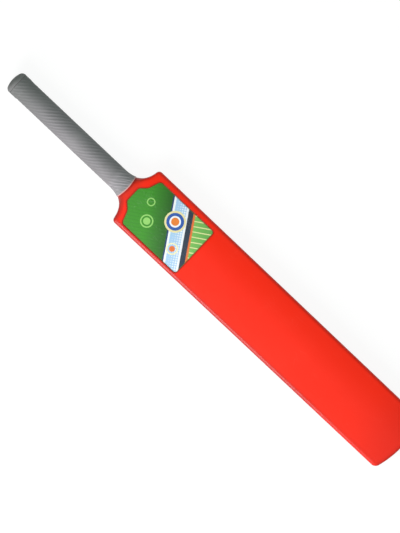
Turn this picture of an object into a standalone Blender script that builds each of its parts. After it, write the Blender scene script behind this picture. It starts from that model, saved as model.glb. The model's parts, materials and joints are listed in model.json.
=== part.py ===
# Plastic cricket bat: a hollow moulded blade and handle, a ribbed rubber sleeve, an end plug and a face label.
# Metres. The bat lies on its back: +X runs from the handle's end to the toe and +Z points out of the face.
# The origin is under the middle of the bat, on the plane that the spine of the back rests on.
# A station is a distance along the bat from the handle's end, and heights are measured from the handle's axis.

import math

import bmesh
import bpy
import numpy as np

# Clearance between pieces that touch
GAP = 0.0003

# Handle tube, moulded in one with the blade
HANDLE_LENGTH = 0.2395
CORE_RADIUS = 0.0133

# Blade
BLADE_LENGTH = 0.5199
SHOULDER_WIDTH = 0.0972
TOE_WIDTH = 0.0944
FACE_RISE = 0.0165
FACE_CROWN_RADIUS = 0.65
EDGE_THICKNESS = 0.018
EDGE_RADIUS = 0.0045
BACK_EDGE_RADIUS = 0.0050
SHELL_WALL = 0.0026

# Spine of the back: its depth is measured from the face, and the land is the level stretch that the bat rests on
SPINE_DEPTH = 0.038
SPINE_DEPTH_AT_SHOULDER = 0.0325
SPINE_DEPTH_AT_TOE = 0.023
SPINE_WIDTH = 0.024
SPINE_EDGE_ROUNDING = 0.0022
SHOULDER_TO_LAND = 0.1601
LAND_LENGTH = 0.240
BACK_HOLLOW = 1.4

# Neck and shoulders, drawn by one cubic curve from the handle out to the shoulder's corner
NECK_CURVE_LENGTH = 0.0504
NECK_TANGENT = 0.0450
NECK_SQUARENESS = 2.6
SHOULDER_TANGENT = 0.0130
SHOULDER_SLOPE = math.radians(9.1)
SHOULDER_CORNER_RADIUS = 0.0068

# Toe
TOE_BOW = 0.008
TOE_BOW_REACH = 0.090
TOE_CORNER_RADIUS = 0.006

# Raised line where the two halves of the mould meet
BEAD_HEIGHT = 0.0004
BEAD_WIDTH = 0.0016

# Rubber sleeve: its collar is the thicker end beside the plug, and its rim is the flared end at the neck
SLEEVE_WALL = 0.0030
COLLAR_LENGTH = 0.0100
COLLAR_FADE = 0.0040
COLLAR_HEIGHT = 0.0005
RIM_WALL = 0.0008
RIM_TO_SHOULDER = 0.0156
RIM_DIP = 0.0034
LIP_LENGTH = 0.0014
FLARE_LENGTH = 0.034
RIB_HEIGHT = 0.0005
RIB_STARTS = 17
RIB_LEAD = 0.121

# End plug: its skirt covers the end of the tube, and its hollow spigot fills the tube's mouth
PLUG_WALL = 0.0035
PLUG_SKIRT_LENGTH = 0.010
PLUG_END_THICKNESS = 0.0058
PLUG_DOME = 0.0044
PLUG_CORNER_RADIUS = 0.0070
SPIGOT_LENGTH = 0.018
SPIGOT_WALL = 0.0022
SPIGOT_LEAD_IN = 0.0010

# Face label: its near edge is level over the top width, then slants down by the neck and on to the shoulders
LABEL_WIDTH = 0.0798
LABEL_LENGTH = 0.1196
LABEL_TO_SHOULDER = 0.0026
LABEL_TOP_WIDTH = 0.0240
LABEL_NECK_WIDTH = 0.0424
LABEL_NECK_DROP = 0.0099
LABEL_SHOULDER_DROP = 0.0166
LABEL_TOP_ROUNDING = 0.0055
LABEL_NECK_ROUNDING = 0.0140
LABEL_SHOULDER_ROUNDING = 0.0055
LABEL_CORNER_RADIUS = 0.0043
LABEL_THICKNESS = 0.0004
LABEL_OFFSET = -0.0018

# Sunk panel of the face that the label lies in
PANEL_MARGIN = 0.0008
PANEL_DEPTH = 0.0010

# Facets
TUBE_STEPS = 3
NECK_STEPS = 16
CORNER_STEPS = 6
SIDE_STEPS = 8
TOE_STEPS = 6
TOE_EDGE_STEPS = 16
FACE_COLUMNS = 4
FILLET_STEPS = 4
RIB_POINTS = 3
TWIST_STEP = 0.0040
ROUND_STEPS = 48
ARC_STEPS = 6
LABEL_ARC_STEPS = 4
SHARP_ANGLE = math.radians(32)
MERGE_DISTANCE = 0.00001

# Limits on a rounding: the least radius, the most width that a slanting edge takes, and the share of the edge
LEAST_ROUNDING = 0.0003
MOST_SLANT = 3.5
MOST_EDGE_SHARE = 0.45

# Most of a section's flat that its first column takes, and the least distance between two columns of the label
MOST_FIRST_COLUMN = 0.6
LEAST_COLUMN = 0.0002

# Lengths that follow from the ones above
TOTAL_LENGTH = HANDLE_LENGTH + BLADE_LENGTH
AXIS_HEIGHT = SPINE_DEPTH - FACE_RISE
TUBE_START = PLUG_END_THICKNESS + GAP
NECK_START = HANDLE_LENGTH - NECK_CURVE_LENGTH
SLEEVE_START = PLUG_SKIRT_LENGTH + GAP
RIM_STATION = HANDLE_LENGTH - RIM_TO_SHOULDER
LABEL_TOP = HANDLE_LENGTH - LABEL_TO_SHOULDER
LAND_START = HANDLE_LENGTH + SHOULDER_TO_LAND
LAND_END = LAND_START + LAND_LENGTH
PLUG_RADIUS = CORE_RADIUS + GAP + PLUG_WALL
SPIGOT_RADIUS = CORE_RADIUS - SHELL_WALL - GAP


def ease(value):
    """Runs from 0 to 1 with a level start and a level end, and stays there outside."""
    value = min(max(value, 0.0), 1.0)
    return value * value * (3.0 - 2.0 * value)


def cubic(points, t):
    """The point at t on the cubic curve with these four control points."""
    start, first, second, end = points
    rest = 1.0 - t
    return start * rest**3 + first * 3 * t * rest**2 + second * 3 * t**2 * rest + end * t**3


# Plan outline of the moulded body


def side_half_width(station):
    """Half the blade's width, which narrows evenly from the shoulders to the toe."""
    along = (station - HANDLE_LENGTH) / BLADE_LENGTH
    return (SHOULDER_WIDTH + (TOE_WIDTH - SHOULDER_WIDTH) * along) / 2


def toe_bow(station):
    """How far a section bends: not at all at the blade's middle, and as the toe's own curve at its end."""
    return TOE_BOW * ease(1.0 - (TOTAL_LENGTH - station) / TOE_BOW_REACH)


def bowed(station, bow, y):
    """Where a point of a bent section lies along the bat."""
    return station - bow * (y / side_half_width(TOTAL_LENGTH)) ** 2


def shoulder_curve(inset):
    """Control points (station, half width) of the neck and shoulder, moved into the plastic by the inset."""
    outwards = np.array([math.sin(SHOULDER_SLOPE), math.cos(SHOULDER_SLOPE)])
    inwards = np.array([math.cos(SHOULDER_SLOPE), -math.sin(SHOULDER_SLOPE)])
    corner_drop = SHOULDER_CORNER_RADIUS * (1.0 - math.sin(SHOULDER_SLOPE))
    start = np.array([NECK_START, CORE_RADIUS - inset])
    corner = np.array([HANDLE_LENGTH, SHOULDER_WIDTH / 2 - corner_drop]) + inwards * inset
    return start, start + np.array([NECK_TANGENT, 0.0]), corner - outwards * SHOULDER_TANGENT, corner


def neck_stations(inset, detail):
    """Stations from the end of the round handle to the end of the shoulder's rounded corner."""
    curve = shoulder_curve(inset)
    neck = [cubic(curve, t) for t in np.linspace(0.0, 1.0, NECK_STEPS // detail + 1)]
    station, half = neck[-1]
    room = side_half_width(HANDLE_LENGTH) - inset - half
    radius = max(room / (1.0 - math.sin(SHOULDER_SLOPE)), LEAST_ROUNDING)
    centre_station = station + radius * math.cos(SHOULDER_SLOPE)
    centre_half = half - radius * math.sin(SHOULDER_SLOPE)
    turns = np.linspace(SHOULDER_SLOPE, math.pi / 2, CORNER_STEPS // detail + 1)[1:]
    corner = [(centre_station - radius * math.cos(turn), centre_half + radius * math.sin(turn)) for turn in turns]
    return [(*point, 0.0) for point in neck + corner]


def side_stations(start, end, inset, detail):
    """Stations along the straight sides, with the ends of the spine's land among them."""
    rise = np.linspace(start, LAND_START, SIDE_STEPS // detail + 1)[1:]
    fall = np.linspace(LAND_END, end, SIDE_STEPS // detail + 1)
    return [(station, side_half_width(station) - inset, toe_bow(station)) for station in (*rise, *fall)]


def toe_stations(inset, detail):
    """Stations that close the outline round the toe's corners."""
    radius = max(TOE_CORNER_RADIUS - inset, LEAST_ROUNDING)
    start = TOTAL_LENGTH - inset - radius
    half = side_half_width(start) - inset - radius
    turns = np.linspace(0.0, math.pi / 2, TOE_STEPS // detail + 1)
    points = [(start + radius * math.sin(turn), half + radius * math.cos(turn)) for turn in turns]
    return [(*point, toe_bow(point[0])) for point in points]


def outline(inset, detail, overrun):
    """Stations (place at the middle, half width, bow) from the tube's mouth to the toe."""
    tube_stations = np.linspace(TUBE_START - overrun, NECK_START, TUBE_STEPS + 1)[:-1]
    tube = [(station, CORE_RADIUS - inset, 0.0) for station in tube_stations]
    neck = neck_stations(inset, detail)
    toe = toe_stations(inset, detail)
    return tube + neck + side_stations(neck[-1][0], toe[0][0], inset, detail) + toe[1:]


def outline_path(stations):
    """One half of the plan outline as points (station, y), run across the toe to the middle."""
    side = [(bowed(station, bow, half), half) for station, half, bow in stations]
    station, half, bow = stations[-1]
    across = np.linspace(half, 0.0, TOE_EDGE_STEPS)[1:]
    return np.array(side + [(bowed(station, bow, y), y) for y in across])


def distance_to_path(path, station, y):
    """Shortest distance in plan from a point to the outline."""
    start, run = path[:-1], np.diff(path, axis=0)
    away = np.array([station, abs(y)]) - start
    share = np.clip((away * run).sum(axis=1) / (run * run).sum(axis=1), 0.0, 1.0)
    return float(np.sqrt(((away - run * share[:, None]) ** 2).sum(axis=1)).min())


# Heights of the face and the back


def face_height(y):
    """The hitting face, gently crowned across."""
    return FACE_RISE - y * y / (2 * FACE_CROWN_RADIUS)


def spine_depth(station):
    """Depth of the spine under the face: it swells to the land and thins again to the toe."""
    short = min(max(LAND_START - station, 0.0) / SHOULDER_TO_LAND, 1.0)
    past = max(station - LAND_END, 0.0) / (TOTAL_LENGTH - LAND_END)
    thinning = (SPINE_DEPTH - SPINE_DEPTH_AT_SHOULDER) * short**2 + (SPINE_DEPTH - SPINE_DEPTH_AT_TOE) * past**2
    return SPINE_DEPTH - thinning


def back_height(station, y):
    """The back: a level spine with hollow slopes that run out to the thin edges."""
    half = side_half_width(max(station, HANDLE_LENGTH))
    beyond = max(abs(y) - SPINE_WIDTH / 2, 0.0)
    share = (math.hypot(beyond, SPINE_EDGE_ROUNDING) - SPINE_EDGE_ROUNDING) / (half - SPINE_WIDTH / 2)
    spine = FACE_RISE - spine_depth(station)
    edge = face_height(half) - EDGE_THICKNESS
    return edge + (spine - edge) * max(1.0 - share, 0.0) ** BACK_HOLLOW


def fillet_drop(distance, radius):
    """How far an edge rounding lies below the surface, at a distance from the edge."""
    inside = min(max(radius - distance, 0.0), radius)
    return radius - math.sqrt(radius * radius - inside * inside)


# Sections of the moulded body


def neck_point(angle, station, half, inset):
    """A point (y, z) on the handle's section, which is round and grows squarer along the neck."""
    along = ease((station - NECK_START) / (RIM_STATION - NECK_START))
    back_rise = SPINE_DEPTH_AT_SHOULDER - FACE_RISE
    height = CORE_RADIUS + ((FACE_RISE if angle > 0.0 else back_rise) - CORE_RADIUS) * along - inset
    squareness = 2.0 + (NECK_SQUARENESS - 2.0) * along
    across = abs(math.cos(angle)) / half
    up = abs(math.sin(angle)) / height
    radius = (across**squareness + up**squareness) ** (-1.0 / squareness)
    return np.array([radius * math.cos(angle), radius * math.sin(angle)])


def row_places(half, flat_end, columns, fillets, first):
    """Distances from the middle to the side: a first one, even steps over the flat, closer ones over the rounding."""
    flat = np.linspace(min(first, MOST_FIRST_COLUMN * flat_end), flat_end, columns)
    turns = [math.pi / 2 * step / fillets for step in range(1, fillets + 1)]
    return [0.0, *flat, *(half - (half - flat_end) * (1.0 - math.sin(turn)) for turn in turns)]


class Skin:
    """The outer surface of the moulded body, or with an inset its hollow, as half sections along the bat."""

    def __init__(self, inset=0.0, detail=1, overrun=0.0):
        self.inset = inset
        self.columns = FACE_COLUMNS // detail
        self.fillets = FILLET_STEPS // detail
        self.stations = outline(inset, detail, overrun)
        self.path = outline_path(self.stations)
        edge_limit = EDGE_THICKNESS * MOST_EDGE_SHARE
        self.face_radius = max(min(EDGE_RADIUS, edge_limit) - inset, LEAST_ROUNDING)
        self.back_radius = max(min(BACK_EDGE_RADIUS, edge_limit) - inset, LEAST_ROUNDING)
        self.halves = [self.half_section(index) for index in range(len(self.stations))]
        self.places = [half[0][0] for half in self.halves]

    def flat_end(self, index, radius):
        """Where a section's rounding starts: it takes more width where the outline crosses it at a slant."""
        half = self.stations[index][1]
        run = self.path[index + 1] - self.path[max(index - 1, 0)]
        slant = math.hypot(*run) / max(abs(run[0]), abs(run[1]) / MOST_SLANT)
        return max(half - radius * slant, half / 2)

    def blade_point(self, index, y, upper):
        """A point (y, z) on the blade's face or back, lowered or raised by the rounding of its edge."""
        station, _, bow = self.stations[index]
        distance = distance_to_path(self.path, bowed(station, bow, y), y)
        if upper:
            return np.array([y, face_height(y) - self.inset - fillet_drop(distance, self.face_radius)])
        return np.array([y, back_height(station, y) + self.inset + fillet_drop(distance, self.back_radius)])

    def row(self, index, upper):
        """Points of one half section from the middle to the side, along the face or along the back."""
        station, half, bow = self.stations[index]
        as_blade = ease((station - RIM_STATION) / (LABEL_TOP - RIM_STATION))
        flat_end = self.flat_end(index, self.face_radius if upper else self.back_radius)
        first = half / (self.columns + 1) if upper else SPINE_WIDTH / 2
        places = row_places(half, flat_end, self.columns, self.fillets, first)
        top, side = math.pi / 2, BEAD_WIDTH / CORE_RADIUS
        points = []
        for step, place in enumerate(places):
            angle = top + (side - top) * step / (len(places) - 1)
            neck = neck_point(angle if upper else -angle, station, half, self.inset)
            y, z = neck + (self.blade_point(index, place, upper) - neck) * as_blade
            points.append((bowed(station, bow, y), y, z))
        return points

    def side_points(self, index, upper, lower):
        """The parting bead on the side, as a foot, a ridge and a foot. The hollow has none."""
        if self.inset:
            return []
        station, half, _ = self.stations[index]
        run = self.path[index + 1] - self.path[max(index - 1, 0)]
        along, across = run / math.hypot(*run)
        height = BEAD_HEIGHT * ease((station - RIM_STATION) / RIM_DIP)
        x, y, middle = (np.array(upper) + np.array(lower)) / 2
        ridge = (x - across * height, max(half, y) + along * height, middle)
        return [(x, y, middle + BEAD_WIDTH / 2), ridge, (x, y, middle - BEAD_WIDTH / 2)]

    def half_section(self, index):
        """One half section: the face outwards, the side, then the back inwards."""
        face, back = self.row(index, True), self.row(index, False)
        return [*face, *self.side_points(index, face[-1], back[-1]), *back[::-1]]

    def radius_at(self, station, angle):
        """Distance from the handle's axis to this skin, round the handle or the neck."""
        index = min(max(int(np.searchsorted(self.places, station)) - 1, 0), len(self.places) - 2)
        share = (station - self.places[index]) / (self.places[index + 1] - self.places[index])
        near, far = np.array(self.halves[index]), np.array(self.halves[index + 1])
        _, y, z = (near + (far - near) * share).T
        folded = math.atan2(math.sin(angle), abs(math.cos(angle)))
        return float(np.interp(folded, np.arctan2(z, y)[::-1], np.hypot(y, z)[::-1]))


# Meshes


def new_piece(name, mesh, collection, material=None):
    """An object for a mesh, in its collection, shaded smooth with its sharp edges kept."""
    piece = bpy.data.objects.new(name, mesh)
    collection.objects.link(piece)
    mesh.shade_smooth()
    mesh.set_sharp_from_angle(angle=SHARP_ANGLE)
    if material:
        mesh.materials.append(material)
    return piece


def finished_mesh(name, shape):
    """The mesh of a closed shape, with its faces turned outwards."""
    bmesh.ops.recalc_face_normals(shape, faces=shape.faces)
    mesh = bpy.data.meshes.new(name)
    shape.to_mesh(mesh)
    shape.free()
    return mesh


def bridge(shape, first, second, closed):
    """Quads between two rows of as many vertices."""
    count = len(first)
    for index in range(count if closed else count - 1):
        after = (index + 1) % count
        shape.faces.new((first[index], first[after], second[after], second[index]))


def skin_mesh(name, skin):
    """The closed mesh of a skin: its sections bridged, a flat end at the tube's mouth and a bowed end at the toe."""
    shape = bmesh.new()
    rings = []
    for half in skin.halves:
        mirrored = [(x, -y, z) for x, y, z in half[-2:0:-1]]
        rings.append([shape.verts.new(point) for point in half + mirrored])
    for near, far in zip(rings, rings[1:]):
        bridge(shape, near, far, closed=True)
    shape.faces.new(rings[0])
    close_toe(shape, skin, rings[-1])
    return finished_mesh(name, shape)


def close_toe(shape, skin, ring):
    """Fills the toe's end with rows that run across it: the face's edge, the bead and the back's edge."""
    row_length = 1 + skin.columns + skin.fillets
    half_length = len(skin.halves[-1])
    side_length = half_length - 2 * row_length
    face = [ring[index] for index in range(1 - row_length, row_length)]
    to_middle = range(row_length + side_length, half_length)
    back = [ring[-index] for index in to_middle[:-1]] + [ring[index] for index in to_middle[::-1]]
    rows = [face]
    for step in range(side_length):
        ends = ring[-(row_length + step)], ring[row_length + step]
        rows.append([ends[0], *toe_row(shape, skin, face, back, step), ends[1]])
    rows.append(back)
    for upper, lower in zip(rows, rows[1:]):
        bridge(shape, upper, lower, closed=False)


def toe_row(shape, skin, face, back, step):
    """The inner vertices of one row of the bead across the toe's end: a foot, the ridge or the other foot."""
    station, _, bow = skin.stations[-1]
    vertices = []
    for upper, lower in zip(face[1:-1], back[1:-1]):
        _, y, middle = (upper.co + lower.co) / 2
        out = BEAD_HEIGHT if step == 1 else 0.0
        vertices.append(shape.verts.new((bowed(station, bow, y) + out, y, middle + (1 - step) * BEAD_WIDTH / 2)))
    return vertices


# Pieces


def blade_shell(parts, cutters, material):
    """The moulded body: its skin, less the hollow that opens at the tube's mouth and the sunk panel of the label."""
    shell = new_piece("blade_shell", skin_mesh("blade_shell", Skin()), parts, material)
    hollow = skin_mesh("hollow", Skin(inset=SHELL_WALL, detail=2, overrun=PLUG_END_THICKNESS))
    panel = slab_mesh("label_panel", label_columns(PANEL_MARGIN), -PANEL_DEPTH, None)
    for name, mesh in (("hollow", hollow), ("label_panel", panel)):
        cutter = new_piece(name, mesh, cutters)
        cutter.hide_render = True
        cutter.display_type = "WIRE"
        cutter.parent = shell
        cut = shell.modifiers.new(name, "BOOLEAN")
        cut.operation = "DIFFERENCE"
        cut.object = cutter
    return shell


def sleeve_wall(station):
    """Thickness of the sleeve at its ribs: the collar fades into the grip, which thins over the flare to the rim."""
    collar = COLLAR_HEIGHT * (1.0 - ease((station - SLEEVE_START - COLLAR_LENGTH) / COLLAR_FADE))
    thinning = (SLEEVE_WALL - RIM_WALL) * ease((station - RIM_STATION + FLARE_LENGTH) / FLARE_LENGTH)
    return SLEEVE_WALL + collar - thinning


def sleeve_ring(skin, station, phase, ridge, groove):
    """Points round the sleeve, whose rim reaches further along the front and the back than at the sides."""
    count = RIB_STARTS * RIB_POINTS
    reach = RIM_DIP * ease((station - RIM_STATION + FLARE_LENGTH) / FLARE_LENGTH)
    points = []
    for index in range(count):
        angle = phase + 2 * math.pi * index / count
        place = station + reach * math.sin(angle) ** 2
        radius = skin.radius_at(place, angle) + GAP + (groove if index % RIB_POINTS else ridge)
        points.append((place, radius * math.cos(angle), radius * math.sin(angle)))
    return points


def grip_sleeve(parts, material):
    """The rubber sleeve: helical ribs outside between two plain lips, and a bore that fits the handle and neck."""
    skin = Skin()
    turn = 2 * math.pi / (RIB_STARTS * RIB_POINTS)
    lip_end, lip_start = SLEEVE_START + LIP_LENGTH, RIM_STATION - LIP_LENGTH
    chamfer = LIP_LENGTH / 4
    steps = math.ceil((lip_start - lip_end) / TWIST_STEP)
    ribbed = np.linspace(lip_end, lip_start, steps + 1)
    outside = [SLEEVE_START, SLEEVE_START + chamfer, *ribbed, RIM_STATION - chamfer, RIM_STATION]
    bore = [*np.linspace(RIM_STATION, NECK_START, NECK_STEPS // 2), SLEEVE_START]
    twist = -2 * math.pi * (RIM_STATION - SLEEVE_START) / RIB_LEAD
    whole_turns = math.floor(twist / turn)
    rings = []
    for station in outside:
        ridge = sleeve_wall(station) - (chamfer if station in (SLEEVE_START, RIM_STATION) else 0.0)
        depth = RIB_HEIGHT * ease(min(station - SLEEVE_START, RIM_STATION - station) / LIP_LENGTH)
        phase = twist * (station - SLEEVE_START) / (RIM_STATION - SLEEVE_START)
        rings.append(sleeve_ring(skin, station, phase, ridge, ridge - depth))
    for station in bore:
        phase = (twist - whole_turns * turn) * (station - SLEEVE_START) / (RIM_STATION - SLEEVE_START)
        rings.append(sleeve_ring(skin, station, phase, 0.0, 0.0))
    shape = bmesh.new()
    vertices = [[shape.verts.new(point) for point in ring] for ring in rings]
    for index, near in enumerate(vertices):
        far = vertices[(index + 1) % len(vertices)]
        if index == len(outside) - 1:
            far = far[whole_turns % len(far):] + far[:whole_turns % len(far)]
        bridge(shape, near, far, closed=True)
    return new_piece("grip_sleeve", finished_mesh("grip_sleeve", shape), parts, material)


def arc(centre, radius, start, end):
    """Points (radius, height) on an arc, with angles measured from straight up towards the outside."""
    angles = np.linspace(start, end, ARC_STEPS + 1)
    return [(centre[0] + radius * math.sin(angle), centre[1] + radius * math.cos(angle)) for angle in angles]


def plug_profile():
    """Half section (radius, height) of the plug with its dome up, from the dome's middle to the spigot's floor."""
    dome_radius = (PLUG_RADIUS**2 + PLUG_DOME**2) / (2 * PLUG_DOME)
    lean = math.asin((PLUG_RADIUS - PLUG_CORNER_RADIUS) / (dome_radius - PLUG_CORNER_RADIUS))
    corner_height = (dome_radius - PLUG_CORNER_RADIUS) * math.cos(lean) - dome_radius
    skirt_bore = CORE_RADIUS + GAP
    spigot_end = -PLUG_END_THICKNESS - SPIGOT_LENGTH
    return [
        *arc((0.0, -dome_radius), dome_radius, 0.0, lean),
        *arc((PLUG_RADIUS - PLUG_CORNER_RADIUS, corner_height), PLUG_CORNER_RADIUS, lean, math.pi / 2)[1:],
        (PLUG_RADIUS, GAP - PLUG_SKIRT_LENGTH),
        (PLUG_RADIUS - GAP, -PLUG_SKIRT_LENGTH),
        (skirt_bore, -PLUG_SKIRT_LENGTH),
        (skirt_bore, -PLUG_END_THICKNESS),
        (SPIGOT_RADIUS, -PLUG_END_THICKNESS),
        (SPIGOT_RADIUS, spigot_end + SPIGOT_LEAD_IN),
        (SPIGOT_RADIUS - SPIGOT_LEAD_IN, spigot_end),
        (SPIGOT_RADIUS - SPIGOT_WALL, spigot_end),
        (SPIGOT_RADIUS - SPIGOT_WALL, -PLUG_END_THICKNESS),
        (0.0, -PLUG_END_THICKNESS),
    ]


def handle_end_cap(parts, material):
    """The plug in the handle's end, turned about the handle's axis with its dome facing away from the blade."""
    mesh = bpy.data.meshes.new("handle_end_cap")
    profile = [(radius, 0.0, height) for radius, height in plug_profile()]
    mesh.from_pydata(profile, [(index, index + 1) for index in range(len(profile) - 1)], [])
    cap = new_piece("handle_end_cap", mesh, parts, material)
    cap.rotation_euler = (0.0, -math.pi / 2, 0.0)
    turned = cap.modifiers.new("turned", "SCREW")
    turned.steps = turned.render_steps = ROUND_STEPS
    turned.use_merge_vertices = True
    turned.merge_threshold = MERGE_DISTANCE
    return cap


def rounded(before, corner, after, radius):
    """Points on the arc that rounds a corner between its neighbours."""
    back = (before - corner) / math.dist(before, corner)
    onward = (after - corner) / math.dist(after, corner)
    half_angle = math.acos(float(back @ onward)) / 2
    centre = corner + (back + onward) / (2 * math.cos(half_angle)) * radius / math.sin(half_angle)
    first = corner + back * radius / math.tan(half_angle) - centre
    last = corner + onward * radius / math.tan(half_angle) - centre
    turn = math.pi - 2 * half_angle
    shares = np.linspace(0.0, 1.0, LABEL_ARC_STEPS + 1)
    return [centre + (first * math.sin((1 - t) * turn) + last * math.sin(t * turn)) / math.sin(turn) for t in shares]


def label_edge(corners, radii, margin):
    """Half an end of the label as points (y, distance from the label's top), moved outwards by the margin."""
    path = [corners[0]]
    for index, radius in enumerate(radii):
        path += rounded(*corners[index:index + 3], radius)
    path = np.array(path)
    run = np.gradient(path, axis=0)
    run[0] = corners[1] - corners[0]
    run[-1] = corners[-1] - corners[-2]
    outwards = np.column_stack([run[:, 1], -run[:, 0]]) / np.hypot(*run.T)[:, None]
    side = np.sign(corners[-1][1] - corners[-2][1])
    return path + outwards * margin * side


def label_columns(margin):
    """The label's outline, widened by the margin, as columns (y, near station, far station) from side to side."""
    half, middle = LABEL_WIDTH / 2, LABEL_LENGTH / 2
    near_corners = [(0.0, 0.0), (LABEL_TOP_WIDTH / 2, 0.0), (LABEL_NECK_WIDTH / 2, LABEL_NECK_DROP)]
    near_corners += [(half, LABEL_SHOULDER_DROP), (half, middle)]
    near_radii = LABEL_TOP_ROUNDING, LABEL_NECK_ROUNDING, LABEL_SHOULDER_ROUNDING
    far_corners = [(0.0, LABEL_LENGTH), (half, LABEL_LENGTH), (half, middle)]
    near = label_edge([np.array(corner) for corner in near_corners], near_radii, margin)
    far = label_edge([np.array(corner) for corner in far_corners], [LABEL_CORNER_RADIUS], margin)
    places = [0.0]
    for y in sorted([*near[:, 0], *far[:, 0]]):
        if y - places[-1] > LEAST_COLUMN:
            places.append(float(y))
    places[-1] = half + margin
    columns = []
    for y in places:
        columns.append((y, *(LABEL_TOP + float(np.interp(y, *edge.T)) for edge in (near, far))))
    return [(-y, near_station, far_station) for y, near_station, far_station in columns[:0:-1]] + columns


def slab_mesh(name, columns, lower, thickness):
    """A slab over the columns that follows the crowned face: its underside lies this far above the face."""
    shape = bmesh.new()
    sections = []
    for place, near, far in columns:
        y = place + LABEL_OFFSET
        floor = face_height(y) + lower
        top = FACE_RISE + PANEL_DEPTH if thickness is None else floor + thickness
        corners = (near, y, floor), (far, y, floor), (far, y, top), (near, y, top)
        sections.append([shape.verts.new(corner) for corner in corners])
    for first, second in zip(sections, sections[1:]):
        bridge(shape, first, second, closed=True)
    shape.faces.new(sections[0])
    shape.faces.new(sections[-1])
    return finished_mesh(name, shape)


def face_label(parts, material):
    """The thin film that lies in the sunk panel of the face."""
    mesh = slab_mesh("face_label", label_columns(0.0), GAP - PANEL_DEPTH, LABEL_THICKNESS)
    return new_piece("face_label", mesh, parts, material)


def plastic(name, colour, roughness, specular=0.5):
    """A plain material from a display colour with channels up to 255."""
    linear = [((channel / 255 + 0.055) / 1.055) ** 2.4 for channel in colour]
    material = bpy.data.materials.new(name)
    material.use_nodes = True
    shader = material.node_tree.nodes["Principled BSDF"]
    shader.inputs["Base Color"].default_value = (*linear, 1.0)
    shader.inputs["Roughness"].default_value = roughness
    shader.inputs["Metallic"].default_value = 0.0
    shader.inputs["Specular IOR Level"].default_value = specular
    return material


def new_collection(name):
    collection = bpy.data.collections.new(name)
    bpy.context.scene.collection.children.link(collection)
    return collection


def main():
    for old in list(bpy.data.objects):
        bpy.data.objects.remove(old, do_unlink=True)
    parts = new_collection("plastic_cricket_bat")
    cutters = new_collection("cutters")
    handle_end = bpy.data.objects.new("handle_end", None)
    handle_end.location = (-(TOTAL_LENGTH + BEAD_HEIGHT) / 2, 0.0, AXIS_HEIGHT)
    handle_end.empty_display_size = CORE_RADIUS
    parts.objects.link(handle_end)
    pieces = [
        blade_shell(parts, cutters, plastic("red_moulded_plastic", (240, 50, 38), 0.28)),
        grip_sleeve(parts, plastic("grey_rubber", (132, 130, 132), 0.55)),
        handle_end_cap(parts, plastic("grey_rubber_plug", (112, 114, 112), 0.5)),
        face_label(parts, plastic("printed_label_film", (70, 160, 66), 0.3)),
    ]
    for piece in pieces:
        piece.parent = handle_end


main()
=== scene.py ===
# A plastic cricket bat that lies face up on a pale table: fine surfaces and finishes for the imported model.
# Metres. +X runs from the handle's end to the toe and +Z points out of the hitting face.
# A station is a distance along the bat from the handle's end, and heights start from the handle's axis.

import json
import math

import bmesh
import bpy
import numpy as np
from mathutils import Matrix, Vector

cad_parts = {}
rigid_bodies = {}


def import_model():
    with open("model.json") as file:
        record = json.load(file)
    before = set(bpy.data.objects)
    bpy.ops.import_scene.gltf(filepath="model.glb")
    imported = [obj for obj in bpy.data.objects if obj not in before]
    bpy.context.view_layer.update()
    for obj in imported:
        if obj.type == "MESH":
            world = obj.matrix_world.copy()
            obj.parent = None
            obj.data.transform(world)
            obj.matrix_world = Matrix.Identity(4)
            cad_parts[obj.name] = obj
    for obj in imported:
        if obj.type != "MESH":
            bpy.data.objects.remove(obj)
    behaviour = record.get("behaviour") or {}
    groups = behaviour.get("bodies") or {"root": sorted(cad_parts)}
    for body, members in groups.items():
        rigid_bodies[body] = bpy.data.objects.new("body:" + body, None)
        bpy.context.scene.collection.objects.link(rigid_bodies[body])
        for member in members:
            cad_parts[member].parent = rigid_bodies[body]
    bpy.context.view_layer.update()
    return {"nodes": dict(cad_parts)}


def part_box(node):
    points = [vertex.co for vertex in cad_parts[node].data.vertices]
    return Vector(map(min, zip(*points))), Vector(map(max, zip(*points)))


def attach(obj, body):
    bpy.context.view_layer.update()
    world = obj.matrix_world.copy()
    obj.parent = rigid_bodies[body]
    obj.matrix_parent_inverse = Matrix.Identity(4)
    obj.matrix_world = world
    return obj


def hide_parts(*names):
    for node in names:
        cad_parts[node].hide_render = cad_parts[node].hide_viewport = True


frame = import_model()
scene = bpy.context.scene
print("frame loaded:", ", ".join(sorted(frame["nodes"])))

# The bat's own places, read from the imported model
plugLow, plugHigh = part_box("handle_end_cap")
bladeLow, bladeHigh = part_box("blade_shell")
handleEnd = plugLow.x
handlePlace = np.array([handleEnd, 0.0, (plugLow.z + plugHigh.z) / 2])
tubeStart = bladeLow.x - handleEnd
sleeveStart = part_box("grip_sleeve")[0].x - handleEnd
clearance = 0.0003  # between two pieces that touch

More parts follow.
